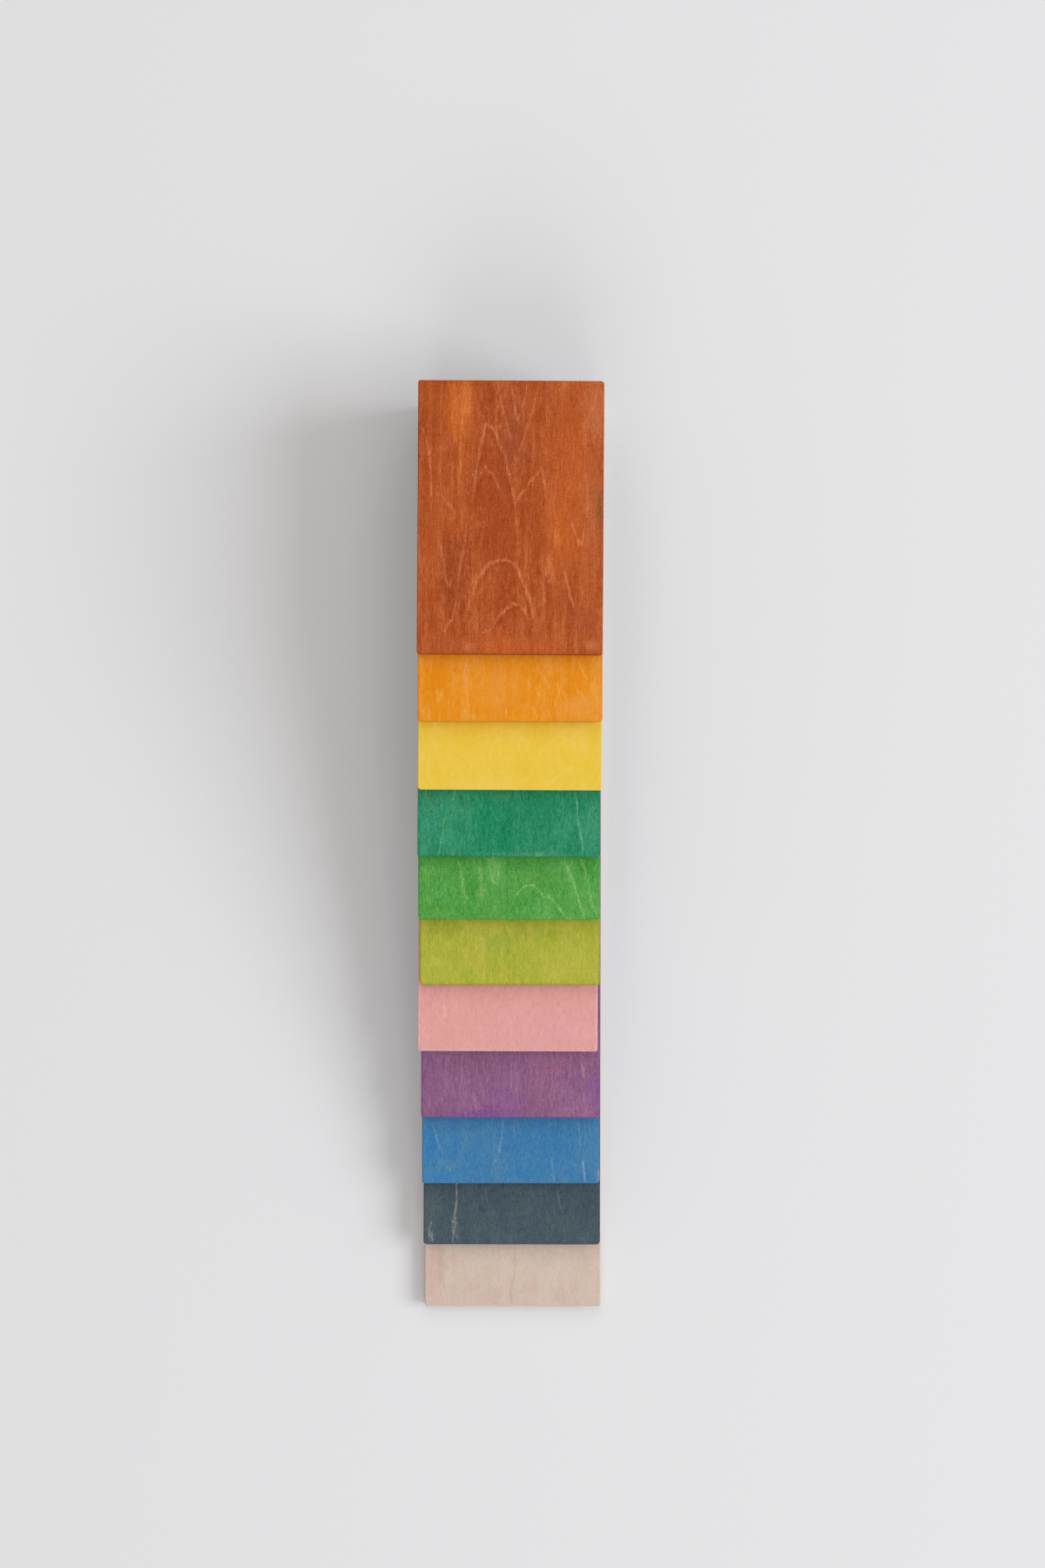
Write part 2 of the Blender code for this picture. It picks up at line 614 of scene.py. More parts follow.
class Mark(ABC):
    """Something that shows on a board's open face, at its place in millimetres on the board."""

    @abstractmethod
    def lay(self, ground: Ground, colour: Wire) -> Wire:
        """Draw the mark over a colour.

        Args:
            ground: the face that it lies on.
            colour: what is there so far.

        Returns:
            The colour with the mark on it.
        """


@dataclass(frozen=True)
class Arch(Mark):
    """A growth line with a peak and two feet, in the finish's line colour, and the shade inside it."""

    apex: Point
    left: Point
    right: Point
    bend: float
    strength: float
    wide: float
    shade: float
    depth: float = 3.0

    def lay(self, ground: Ground, colour: Wire) -> Wire:
        """Draw the shade and then the line.

        Args:
            ground: the face that it lies on.
            colour: what is there so far.

        Returns:
            The colour with the arch on it.
        """
        graph, finish = ground.graph, ground.finish
        left, right = level(self.left, self.apex), level(self.right, self.apex)
        arch = graph.place(ground.effects.arch, Place=ground.ragged, Apex=level(self.apex), Left=left,
                           Right=right, Bend=self.bend, Width=self.wide, Depth=self.depth)
        if self.shade:
            colour = graph.mix(arch["Shade"] * self.shade, colour, stain(finish.shade))
        return graph.mix(arch["Line"] * (ground.broken * self.strength), colour, stain(finish.line))


@dataclass(frozen=True)
class Streak(Mark):
    """A streak along a chain of points, in its own colour or the finish's line colour."""

    points: tuple[Point, ...]
    wide: float
    strength: float
    colour: Colour | None = None

    def lay(self, ground: Ground, colour: Wire) -> Wire:
        """Draw the streak run by run.

        Args:
            ground: the face that it lies on.
            colour: what is there so far.

        Returns:
            The colour with the streak on it.
        """
        graph = ground.graph
        runs = list(zip(self.points, self.points[1:]))
        total = sum(math.dist(start, end) for start, end in runs)
        before = 0.0
        mask: Source = 0.0
        for start, end in runs:
            span = math.dist(start, end) / total
            run = graph.place(ground.effects.streak, Place=ground.ragged, Start=level(start),
                              Run=level(end, start), From=before, Span=span, Width=self.wide)
            mask = graph.maths("MAXIMUM", mask, run["Mask"])
            before += span
        share = graph.maths("MULTIPLY", mask, ground.broken * self.strength)
        return graph.mix(share, colour, stain(self.colour or ground.finish.line))


@dataclass(frozen=True)
class Patch(Mark):
    """A soft oval patch of another tone. A scuffed one shows on raised fibres only."""

    centre: Point
    radii: Point
    strength: float
    colour: Colour
    scuffed: bool = False

    def lay(self, ground: Ground, colour: Wire) -> Wire:
        """Lay the patch.

        Args:
            ground: the face that it lies on.
            colour: what is there so far.

        Returns:
            The colour with the patch on it.
        """
        graph = ground.graph
        patch = graph.place(ground.effects.patch, Place=ground.place, Centre=level(self.centre),
                            Radii=(*self.radii, 1.0), Uneven=ground.uneven)
        share = patch["Mask"] * self.strength
        if self.scuffed:
            share = share * ground.flecks
        return graph.mix(share, colour, stain(self.colour))


@dataclass(frozen=True)
class Figure:
    """A board's veneer: the seed of its chance, how its lines are pulled about, and the marks that it has.

    Lines get teeth of that depth and size, and sway. They show on raised fibres, flecked, and a little
    elsewhere, steady. open_mm is how far the upper face is open to view from the front end, and rings is how
    strongly the growth lines show on the covered rest. wander is how much bands move the edges of patches.
    """

    seed: float
    marks: tuple[Mark, ...]
    teeth: float = 4.0
    tooth_mm: float = 0.95
    tooth_length_mm: float = 16.0
    sway: float = 1.2
    fleck_span: Point = (-0.9, 0.9)
    flecked: float = 0.5
    steady: float = 0.4
    open_mm: float = 27.0
    rings: float = 0.6
    ring_mm: float = 0.7
    wander: float = 0.7


@dataclass
class Plank:
    """One board of the stack, rebuilt with hand-sanded edges and dressed in its stain.

    corners_mm are the radii of the near left, near right, far left and far right corners. edge is the radius
    of the eased edges, which swell by a share of it in two waves of so many radians per metre: one along the
    board, and one slant, across and along. sanded is what sanding took off each size. A side face is a flank
    if its normal is at least flank_facing across.
    """

    colour: str
    finish: Finish
    figure: Figure
    corners_mm: tuple[float, float, float, float] = (1.2, 1.2, 1.2, 1.2)
    edge: float = 0.42 * MM
    swell: float = 0.1
    long_wave: float = 61.0
    slant_wave: Point = (97.0, 23.0)
    sanded: float = 0.02 * MM
    flat_step: float = 8.0 * MM
    corner_steps: int = 3
    edge_steps: int = 5
    wall_steps: int = 3
    flank_facing: float = 0.99
    centre: Vector = field(default_factory=Vector)
    twist: float = 0.0
    size: Vector = field(default_factory=Vector)

    def measure(self) -> None:
        """Read the board's place, turn and size from its solid.

        The solid's long side faces give the turn: their normals, folded to one side and weighted by area, are
        averaged. Turned back by that angle, the solid's reach along each axis is its size.
        """
        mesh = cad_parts[f"{self.colour}_board"].data
        points = self._read(mesh.vertices, "co", 3)
        normals = self._read(mesh.polygons, "normal", 3)
        areas = self._read(mesh.polygons, "area", 1)
        flank = np.abs(normals[:, 0]) > self.flank_facing
        facing = (normals[flank] * np.sign(normals[flank, :1]) * areas[flank]).sum(axis=0)
        self.twist = math.atan2(facing[1], facing[0])
        middle = (points.min(axis=0) + points.max(axis=0)) / 2.0
        turned = (points - middle) @ self._turn()
        low, high = turned.min(axis=0), turned.max(axis=0)
        self.centre = Vector(middle + self._turn() @ ((low + high) / 2.0))
        self.size = Vector(high - low - self.sanded)

    @staticmethod
    def _read(items: bpy.types.bpy_prop_collection, name: str, width: int) -> np.ndarray:
        """Read one property of every point or face of a mesh.

        Args:
            items: the points or faces.
            name: the property.
            width: how many numbers it has.

        Returns:
            One row of numbers for each item.
        """
        values = np.empty(len(items) * width, np.float32)
        items.foreach_get(name, values)
        return values.reshape(-1, width).astype(float)

    def _turn(self) -> np.ndarray:
        """The rotation matrix of the board's turn about the vertical."""
        c, s = math.cos(self.twist), math.sin(self.twist)
        return np.array(((c, -s, 0.0), (s, c, 0.0), (0.0, 0.0, 1.0)))

    def _stations(self, half: float) -> np.ndarray:
        """Lattice lines over the skin along one axis, from the middle of one wall over the face to the other.

        The face has even steps, then a few finer ones in the corner, then the steps round the eased edge and
        down the wall. Past the face they are measured along the skin.

        Args:
            half: half the board's size along the axis.

        Returns:
            The lattice lines, from low to high.
        """
        corner = half - max(self.corners_mm) * MM
        rise = half - self.edge
        bend = rise + self.edge * math.pi / 2.0
        foot = bend + self.size.z / 2.0 - self.edge
        face = np.linspace(0.0, corner, max(2, round(corner / self.flat_step)) + 1)
        turn = np.linspace(corner, rise, self.corner_steps + 1)[1:]
        ease = np.linspace(rise, bend, self.edge_steps + 1)[1:]
        wall = np.linspace(bend, foot, self.wall_steps + 1)[1:]
        side = np.concatenate((face, turn, ease, wall))
        return np.concatenate((-side[:0:-1], side))

    def _skin(self, half: Half) -> tuple[np.ndarray, tuple[int, int]]:
        """Half of the board's skin as a lattice laid over a face and down to the middle of the walls.

        A lattice point's distance past the corner's centre is the larger of its two parts, and the smaller
        part gives its angle round the corner. Up to the eased edge that distance is plain; round the edge it
        is a quarter circle, whose radius swells a little along the board as hand sanding leaves it; past that
        the skin drops straight down the wall.

        Args:
            half: the upper or the lower half.

        Returns:
            The points, in the board's own axes from its centre, and the lattice's two counts.
        """
        half_width, half_length, half_thick = self.size.x / 2.0, self.size.y / 2.0, self.size.z / 2.0
        across, along = np.meshgrid(self._stations(half_width), self._stations(half_length), indexing="ij")
        near_left, near_right, far_left, far_right = (value * MM for value in self.corners_mm)
        near = np.where(across < 0.0, near_left, near_right)
        far = np.where(across < 0.0, far_left, far_right)
        radius = np.where(along < 0.0, near, far)
        seed = self.figure.seed
        across_wave, along_wave = self.slant_wave
        wave = np.sin(along * self.long_wave + seed)
        wave += np.sin(across * across_wave + along * along_wave + 2.0 * seed)
        edge = self.edge * (1.0 + self.swell * wave)

        x_part = np.abs(across) - (half_width - radius)
        y_part = np.abs(along) - (half_length - radius)
        reach = np.maximum(x_part, y_part)
        inner = np.minimum(x_part, y_part)
        safe = np.where(reach > 0.0, reach, 1.0)
        lean = math.pi / 4.0 * np.clip(inner, 0.0, None) / safe
        angle = np.where(x_part >= y_part, lean, math.pi / 2.0 - lean)

        past = reach - (radius - self.edge)
        bend = np.clip(past / self.edge, 0.0, math.pi / 2.0)
        wall = np.clip((past - self.edge * math.pi / 2.0) / (half_thick - self.edge), 0.0, 1.0)
        flat = reach * (radius - edge) / (radius - self.edge)
        spread = np.where(past < 0.0, flat, radius - edge + edge * np.sin(bend))
        drop = edge * (1.0 - np.cos(bend)) + wall * (half_thick - edge)

        corner = (x_part > 0.0) & (y_part > 0.0)
        x_plain = np.where(x_part > 0.0, half_width - radius + spread, np.abs(across))
        y_plain = np.where(y_part > 0.0, half_length - radius + spread, np.abs(along))
        x = np.where(corner, half_width - radius + spread * np.cos(angle), x_plain)
        y = np.where(corner, half_length - radius + spread * np.sin(angle), y_plain)
        z = half.value * (half_thick - drop)
        points = np.stack((np.sign(across) * x, np.sign(along) * y, z), axis=-1)
        return points.reshape(-1, 3), across.shape

    def build(self) -> bpy.types.Object:
        """Make the board's closed mesh where its solid is.

        The lower half's faces are wound the other way, and its border points give way to the upper half's.

        Returns:
            The new piece.
        """
        upper, shape = self._skin(Half.UPPER)
        lower, _ = self._skin(Half.LOWER)
        points = np.concatenate((upper, lower)) @ self._turn().T + np.array(self.centre)
        faces = np.concatenate((lattice_faces(shape), lattice_faces(shape, len(upper))[:, ::-1]))
        rim = np.zeros(shape, bool)
        rim[[0, -1], :] = True
        rim[:, [0, -1]] = True
        shared = np.flatnonzero(rim.ravel())
        remap = np.arange(len(points))
        remap[shared + len(upper)] = shared
        kept = np.unique(remap)
        renumber = np.zeros(len(points), int)
        renumber[kept] = np.arange(len(kept))
        mesh = bpy.data.meshes.new(f"{self.colour}_plank")
        mesh.from_pydata(points[kept].tolist(), [], renumber[remap[faces]].tolist())
        mesh.shade_smooth()
        mesh.update()
        piece = bpy.data.objects.new(f"{self.colour}_plank", mesh)
        bpy.context.scene.collection.objects.link(piece)
        return piece

    def dress(self, piece: bpy.types.Object, effects: WoodEffects) -> None:
        """Give the board its stained veneer.

        The board's own marks lie on its plain face, then its rim, and the plies on its edges. The fibre
        lightens and darkens all of it, and raises it a little.

        Args:
            piece: the board's mesh.
            effects: the shared wood effects.
        """
        finish = self.finish
        material = bpy.data.materials.new(f"{self.colour}_veneer")
        material.use_nodes = True
        graph = Graph(material.node_tree)
        ground = self._ground(graph, effects)
        rim = graph.place(effects.rim, Place=ground.place, Size=tuple(self.size / MM),
                          Reach=finish.rim_reach_mm, Uneven=ground.cloud["Mottle"])
        plain = self._plain(ground)
        marked = plain
        for mark in self.figure.marks:
            marked = mark.lay(ground, marked)
        colour = graph.mix(rim["Top"], plain, marked)
        colour = graph.mix(rim["Rim"] * finish.rim_share, colour, stain(finish.rim))
        colour = graph.mix(rim["Side"], colour, self._edge_colour(ground))
        toned = graph.place(effects.toned, Colour=colour, Fibre=ground.fibre, Strength=finish.fibre,
                            Warmth=ground.cloud["Warm"] * finish.warmth)
        bump = graph.fill(graph.add("ShaderNodeBump"), Strength=finish.bump, Distance=finish.bump_mm * MM,
                          Height=ground.fibre)
        graph.fill(material.node_tree.nodes["Principled BSDF"], Base_Color=toned["Colour"],
                   Roughness=ground.fibre * finish.roughness_swing + finish.roughness,
                   Specular_IOR_Level=finish.gloss, Normal=bump["Normal"])
        piece.data.materials.append(material)

    def _ground(self, graph: Graph, effects: WoodEffects) -> Ground:
        """Lay out the board's place, fibre and stain.

        The seed moves the board to a stretch of the noise of its own.

        Args:
            graph: the material's nodes.
            effects: the shared wood effects.

        Returns:
            The ground for the board's marks.
        """
        figure = self.figure
        place = self._place(graph)
        chance = place + self._seeded()
        across, along = self.finish.grain_mm
        fibre = graph.place(effects.fibre, Place=chance, Grain=(across, along, across))["Fibre"]
        cloud = graph.place(effects.cloud, Place=chance)
        tooth = (figure.tooth_mm, figure.tooth_length_mm, figure.tooth_mm)
        ragged = graph.place(effects.ragged, Place=place, Chance=chance, Tooth=tooth, Teeth=figure.teeth,
                             Sway=figure.sway)
        flecks = graph.ease(fibre, *figure.fleck_span)
        broken = ragged["Broken"] * (flecks * figure.flecked + figure.steady)
        uneven = cloud["Band"] * figure.wander + cloud["Mottle"]
        return Ground(graph, effects, self.finish, place, fibre, cloud, ragged["Place"], broken, flecks,
                      uneven)

    def _seeded(self) -> Triple:
        """How far the board's seed moves it in the noise."""
        return tuple(step * self.figure.seed for step in SEED_STEP_MM)

    def _plain(self, ground: Ground) -> Wire:
        """The face without its marks.

        The body colour goes towards the shade or the pale colour with the clouds, mottles and bands of the
        stain, and growth lines run where the board is covered.

        Args:
            ground: the board's face.

        Returns:
            The colour.
        """
        graph, finish, cloud = ground.graph, self.finish, ground.cloud
        tone = cloud["Mottle"] * finish.mottle + cloud["Cloud"] * finish.cloud + cloud["Band"] * finish.band
        plain = graph.mix(graph.limit(tone * -1.0), stain(finish.body), stain(finish.shade))
        plain = graph.mix(graph.limit(tone), plain, stain(finish.pale))
        rings = graph.place(ground.effects.rings, Place=ground.place, Chance=ground.ragged + self._seeded(),
                            Open=self.figure.open_mm, Width=self.figure.ring_mm)
        return graph.mix(rings["Line"] * (ground.broken * self.figure.rings), plain, stain(finish.line))

    def _edge_colour(self, ground: Ground) -> Wire:
        """The colour of the board's edges, with the plies and the glue between them.

        Args:
            ground: the board's face.

        Returns:
            The colour.
        """
        graph, finish = ground.graph, self.finish
        plies = graph.place(ground.effects.plies, Place=ground.place, Size=tuple(self.size / MM))
        colour = graph.mix(plies["End"] * finish.end_grain, stain(finish.body), stain(finish.shade))
        glue = tuple(int(finish.glue_tone * part) for part in finish.shade)
        return graph.mix(plies["Glue"] * finish.glue, colour, stain(glue))

    def _place(self, graph: Graph) -> Wire:
        """Where a point is on the board: across, along and up from the middle of its front end.

        Args:
            graph: the material's nodes.

        Returns:
            The place.
        """
        front = self.centre + Vector(self._turn() @ np.array((0.0, -self.size.y / 2.0, 0.0)))
        spot = graph.fill(graph.add("ShaderNodeTexCoord"))["Object"]
        mapping = graph.add("ShaderNodeMapping", vector_type="TEXTURE")
        return graph.fill(mapping, Vector=spot, Location=tuple(front), Rotation=(0.0, 0.0, self.twist),
                          Scale=(MM, MM, MM))["Vector"]

    def join(self, piece: bpy.types.Object) -> None:
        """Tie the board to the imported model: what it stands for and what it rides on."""
        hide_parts(f"{self.colour}_board")
        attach(piece, self.colour)


NATURAL = Plank(
    "natural",
    Finish(body=(207, 188, 174), shade=(198, 172, 158), pale=(213, 195, 182), line=(196, 158, 142),
           rim=(206, 180, 162), fibre=4.6, grain_mm=(0.42, 2.2), cloud=0.5, mottle=0.3, band=0.3,
           warmth=1.0, roughness=0.72),
    Figure(1.0, marks=(
        Patch((-29.8, 13.0), (5.0, 16.0), 0.6, (204, 172, 160)),
        Streak(((-28.4, 20.0), (-28.0, 8.0)), 1.6, 0.5, (196, 162, 148)),
        Streak(((-32.0, 22.0), (-31.6, 3.0)), 1.0, 0.45, (198, 166, 152)),
        Patch((12.0, 13.0), (9.0, 9.0), 0.4, (210, 192, 178)),
        Patch((0.4, 18.5), (1.6, 4.0), 0.5, (205, 174, 160)),
        Streak(((1.0, 24.5), (1.2, 16.0), (0.7, 11.0)), 0.8, 0.65),
        Streak(((0.8, 12.0), (-0.3, 8.0), (-0.8, 5.0), (-0.4, 0.4)), 0.9, 1.0),
        Patch((-10.0, 1.8), (6.0, 1.8), 0.5, (207, 176, 160)),
        Patch((8.6, 6.0), (3.6, 5.0), 0.5, (206, 174, 160)),
        Patch((18.0, 5.0), (3.4, 3.4), 0.55, (206, 174, 160)),
        Patch((26.0, 0.8), (10.0, 1.4), 0.4, (208, 176, 160)),
        Patch((33.3, 12.0), (0.9, 4.0), 0.5, (212, 176, 150)),
        Patch((33.5, 6.0), (0.8, 3.0), 0.6, (214, 186, 148)),
    )),
    corners_mm=(0.9, 0.9, 1.2, 1.2),
)

SLATE = Plank(
    "slate",
    Finish(body=(75, 89, 96), shade=(62, 77, 87), pale=(88, 100, 106), line=(132, 136, 138),
           rim=(60, 72, 80), fibre=7.4, grain_mm=(0.42, 2.2), cloud=0.45, mottle=0.3, band=0.3, warmth=1.5),
    Figure(2.0, teeth=1.5, sway=0.6, marks=(
        Patch((-10.0, 18.0), (9.0, 8.0), 0.6, (63, 77, 86)),
        Patch((-30.5, 15.0), (4.5, 9.0), 0.6, (86, 98, 103)),
        Streak(((-21.0, 25.5), (-21.2, 18.0), (-21.6, 13.5)), 0.6, 1.0, (146, 138, 138)),
        Streak(((-21.4, 15.5), (-22.0, 11.0), (-22.3, 5.5), (-22.3, 3.5)), 0.95, 1.0, (160, 154, 148)),
        Patch((-22.2, 7.5), (1.4, 5.5), 0.6, (136, 136, 132), True),
        Streak(((-22.5, 4.0), (-23.0, 0.8)), 0.6, 0.7),
        Streak(((-21.2, 4.4), (-20.8, 1.2)), 0.6, 0.7),
        Streak(((-31.0, 9.0), (-31.7, 5.6), (-31.8, 2.6)), 0.7, 0.75, (150, 150, 148)),
        Streak(((-30.9, 4.6), (-30.4, 0.8)), 0.7, 0.8, (150, 152, 150)),
        Patch((-31.2, 2.6), (1.8, 3.0), 0.5, (126, 132, 132), True),
        Streak(((-10.4, 22.0), (-9.8, 17.0)), 0.5, 0.45),
        Streak(((-11.6, 19.4), (-11.4, 16.6)), 0.5, 0.4),
        Streak(((17.7, 21.5), (18.3, 17.0), (18.8, 13.6)), 0.5, 0.4),
        Streak(((20.3, 8.0), (20.6, 0.8)), 0.5, 0.35),
        Streak(((13.6, 2.2), (14.4, 0.9)), 0.5, 0.45),
    )),
    corners_mm=(1.3, 1.5, 1.3, 1.3),
)

BLUE = Plank(
    "blue",
    Finish(body=(69, 124, 167), shade=(52, 115, 168), pale=(84, 132, 166), line=(120, 156, 180),
           rim=(58, 114, 160), fibre=7.2, grain_mm=(0.42, 2.4), cloud=0.5, mottle=0.4, band=0.35,
           warmth=4.0),
    Figure(3.0, teeth=1.4, sway=0.7, marks=(
        Patch((-30.5, 13.0), (4.0, 9.0), 0.5, (50, 120, 176)),
        Patch((-23.5, 12.0), (3.2, 5.0), 0.45, (52, 118, 176)),
        Patch((-25.0, 2.0), (8.0, 2.6), 0.5, (52, 122, 178)),
        Patch((6.0, 4.5), (6.0, 4.5), 0.5, (54, 121, 174)),
        Patch((21.0, 8.0), (4.5, 9.0), 0.4, (62, 118, 172)),
        Streak(((-30.0, 23.2), (-29.1, 19.6), (-27.4, 14.6), (-26.0, 10.4)), 0.65, 0.7, (126, 158, 182)),
        Streak(((-26.4, 11.6), (-25.4, 8.4), (-24.0, 6.2), (-22.4, 6.0), (-20.8, 7.6), (-18.6, 12.0),
                (-16.8, 19.4)), 1.3, 0.4, (106, 146, 166)),
        Patch((-23.2, 6.0), (2.0, 1.6), 0.6, (110, 146, 164), True),
        Streak(((-3.0, 24.6), (-3.3, 19.0), (-4.0, 14.0), (-5.4, 9.6), (-7.0, 7.0)), 0.65, 0.65,
                (124, 158, 182)),
        Patch((-4.2, 5.4), (4.2, 5.4), 0.5, (98, 136, 160), True),
        Streak(((1.2, 24.5), (1.3, 17.0)), 0.5, 0.5),
        Streak(((1.2, 9.0), (1.2, 2.0)), 0.5, 0.35),
        Streak(((14.0, 18.0), (14.4, 14.0)), 0.5, 0.35),
        Streak(((15.3, 10.0), (16.0, 5.0), (16.8, 0.3)), 0.7, 0.6, (112, 154, 186)),
        Streak(((25.9, 24.5), (26.4, 19.0), (26.7, 12.8)), 0.55, 0.55),
        Streak(((27.4, 9.8), (28.0, 5.4), (28.5, 0.5)), 0.7, 0.65, (142, 176, 198)),
        Streak(((28.2, 23.0), (28.8, 15.6)), 0.6, 0.45),
        Streak(((29.7, 23.2), (30.7, 18.6)), 0.5, 0.6),
        Streak(((30.2, 16.0), (30.6, 9.0)), 0.6, 0.3),
        Patch((33.6, 3.4), (1.0, 3.6), 0.9, (156, 158, 150), True),
    )),
    corners_mm=(1.0, 1.5, 1.2, 1.2),
)

PURPLE = Plank(
    "purple",
    Finish(body=(139, 96, 130), shade=(122, 81, 118), pale=(152, 108, 143), line=(176, 130, 156),
           rim=(122, 80, 142), rim_share=0.5, rim_reach_mm=1.4, fibre=11.0, grain_mm=(0.42, 4.0),
           cloud=0.35, mottle=0.25, band=0.35, warmth=3.0),
    Figure(4.0, teeth=2.5, sway=0.6, marks=(
        Patch((17.0, 20.0), (7.0, 6.0), 0.5, (156, 98, 127)),
        Patch((-18.0, 20.0), (14.0, 5.0), 0.45, (132, 86, 118)),
        Patch((-3.0, 7.0), (9.0, 7.0), 0.45, (130, 88, 140)),
        Patch((-10.0, 1.4), (17.0, 3.8), 0.6, (124, 78, 144)),
        Patch((27.0, 4.0), (8.0, 5.0), 0.4, (156, 106, 146)),
        Patch((-31.0, 18.0), (5.0, 7.0), 0.4, (128, 88, 122)),
        Patch((-31.0, 4.0), (3.0, 3.4), 0.35, (152, 98, 132)),
        Patch((14.0, 10.0), (8.0, 6.0), 0.45, (152, 106, 130)),
        Patch((31.6, 11.0), (3.6, 8.0), 0.55, (140, 92, 150)),
        Patch((28.0, 2.2), (2.4, 2.6), 0.4, (166, 112, 128)),
        Patch((20.0, 0.7), (5.0, 0.9), 0.5, (162, 104, 128)),
        Streak(((26.8, 25.2), (27.0, 20.0)), 0.5, 0.7, (180, 136, 150)),
        Streak(((27.4, 20.0), (28.0, 15.4)), 0.8, 0.8, (190, 136, 140)),
        Streak(((28.0, 15.0), (28.1, 5.0)), 0.5, 0.5),
        Streak(((0.3, 25.2), (0.4, 11.0)), 0.5, 0.55),
        Streak(((9.9, 24.0), (10.0, 12.0)), 0.5, 0.5),
        Streak(((22.4, 20.0), (22.6, 6.0)), 0.5, 0.35),
        Streak(((-21.6, 14.0), (-21.8, 3.0)), 0.5, 0.35),
        Streak(((-8.6, 20.0), (-8.7, 12.0)), 0.5, 0.3),
    )),
    corners_mm=(1.2, 0.9, 1.2, 1.2),
)

PINK = Plank(
    "pink",
    Finish(body=(222, 159, 156), shade=(214, 150, 146), pale=(227, 168, 165), line=(231, 182, 176),
           rim=(238, 192, 186), rim_share=0.6, rim_reach_mm=0.8, fibre=4.6, grain_mm=(0.5, 2.0), cloud=0.3,
           mottle=0.45, band=0.25, warmth=2.2),
    Figure(5.0, marks=(
        Patch((-20.0, 13.0), (14.0, 15.0), 0.35, (223, 162, 152)),
        Patch((18.0, 7.0), (17.0, 9.0), 0.35, (220, 157, 161)),
        Streak(((-24.0, 17.5), (-24.1, 12.5)), 1.1, 1.0),
    )),
    corners_mm=(1.2, 0.9, 1.2, 1.2),
)

LIME = Plank(
    "lime",
    Finish(body=(172, 172, 65), shade=(148, 163, 52), pale=(190, 180, 80), line=(190, 184, 104),
           rim=(134, 138, 44), rim_share=0.6, rim_reach_mm=1.2, fibre=8.6, grain_mm=(0.42, 3.0), cloud=0.45,
           mottle=0.5, band=0.4, warmth=3.0),
    Figure(6.0, teeth=1.6, sway=0.8, marks=(
        Patch((-5.0, 16.0), (7.0, 4.6), 0.65, (146, 166, 64)),
        Patch((-25.0, 21.5), (9.0, 3.6), 0.5, (152, 156, 54)),
        Patch((4.6, 21.0), (4.0, 4.0), 0.45, (158, 158, 66)),
        Patch((15.6, 18.5), (3.0, 3.6), 0.5, (150, 158, 46)),
        Patch((20.0, 8.5), (17.0, 8.0), 0.5, (182, 180, 74)),
        Patch((-26.0, 7.0), (9.0, 7.0), 0.5, (181, 178, 76)),
        Patch((-17.8, 14.9), (1.8, 1.4), 0.5, (152, 166, 42)),
        Streak(((-21.6, 16.8), (-19.4, 14.4), (-17.2, 12.6), (-16.4, 10.0)), 1.3, 0.6),
    )),
    corners_mm=(2.2, 1.0, 1.2, 1.2),
)

GREEN = Plank(
    "green",
    Finish(body=(83, 154, 72), shade=(61, 138, 54), pale=(103, 167, 88), line=(148, 194, 112),
           rim=(68, 148, 64), fibre=13.6, cloud=0.65, mottle=0.35, band=0.45, warmth=2.0),
    Figure(7.0, teeth=1.6, sway=0.8, marks=(
        Patch((-5.6, 19.4), (2.2, 5.8), 0.85, (120, 173, 92)),
        Arch((-5.2, 13.4), (-8.0, 24.5), (-3.2, 24.5), 2.2, 0.8, 0.7, 0.0),
        Streak(((-11.0, 21.8), (-10.6, 16.0), (-10.2, 9.0)), 1.2, 0.7),
        Patch((-10.4, 9.8), (2.4, 3.6), 0.75, (114, 168, 88)),
        Patch((-10.6, 3.6), (2.6, 5.0), 0.35, (102, 164, 84)),
        Patch((-17.4, 14.0), (1.5, 8.0), 0.45, (106, 167, 86)),
        Streak(((-18.9, 22.0), (-17.6, 14.0), (-16.7, 8.8), (-15.9, 7.4)), 0.8, 0.75),
        Streak(((-15.5, 8.7), (-16.8, 5.6)), 0.6, 0.55),
        Patch((-30.5, 17.0), (1.8, 4.5), 0.5, (110, 164, 78)),
        Patch((-27.0, 2.6), (7.0, 3.2), 0.45, (102, 160, 72)),
        Streak(((-0.8, 22.5), (-0.7, 1.6)), 0.5, 0.55, (50, 116, 42)),
        Patch((8.2, 16.4), (5.6, 4.0), 0.45, (104, 160, 80)),
        Patch((8.4, 8.8), (5.4, 3.4), 0.55, (66, 144, 60)),
        Streak(((3.0, 9.4), (5.0, 11.6), (6.6, 12.8), (9.4, 12.8), (11.2, 11.0), (13.2, 8.6), (14.6, 8.8),
                (16.6, 7.6), (18.6, 4.4), (21.2, 0.8), (22.8, 0.1)), 0.7, 0.9),
        Patch((22.4, 18.4), (1.8, 5.0), 0.5, (110, 170, 88)),
        Streak(((20.8, 22.8), (22.4, 18.5), (24.2, 13.5), (25.8, 8.0), (27.6, 3.0), (28.4, 0.1)), 0.95,
                0.8),
        Streak(((26.9, 22.8), (28.6, 18.0), (30.0, 10.5), (31.2, 6.0), (33.4, 0.3)), 0.8, 0.85),
    )),
    corners_mm=(1.0, 1.0, 1.2, 1.2),
)

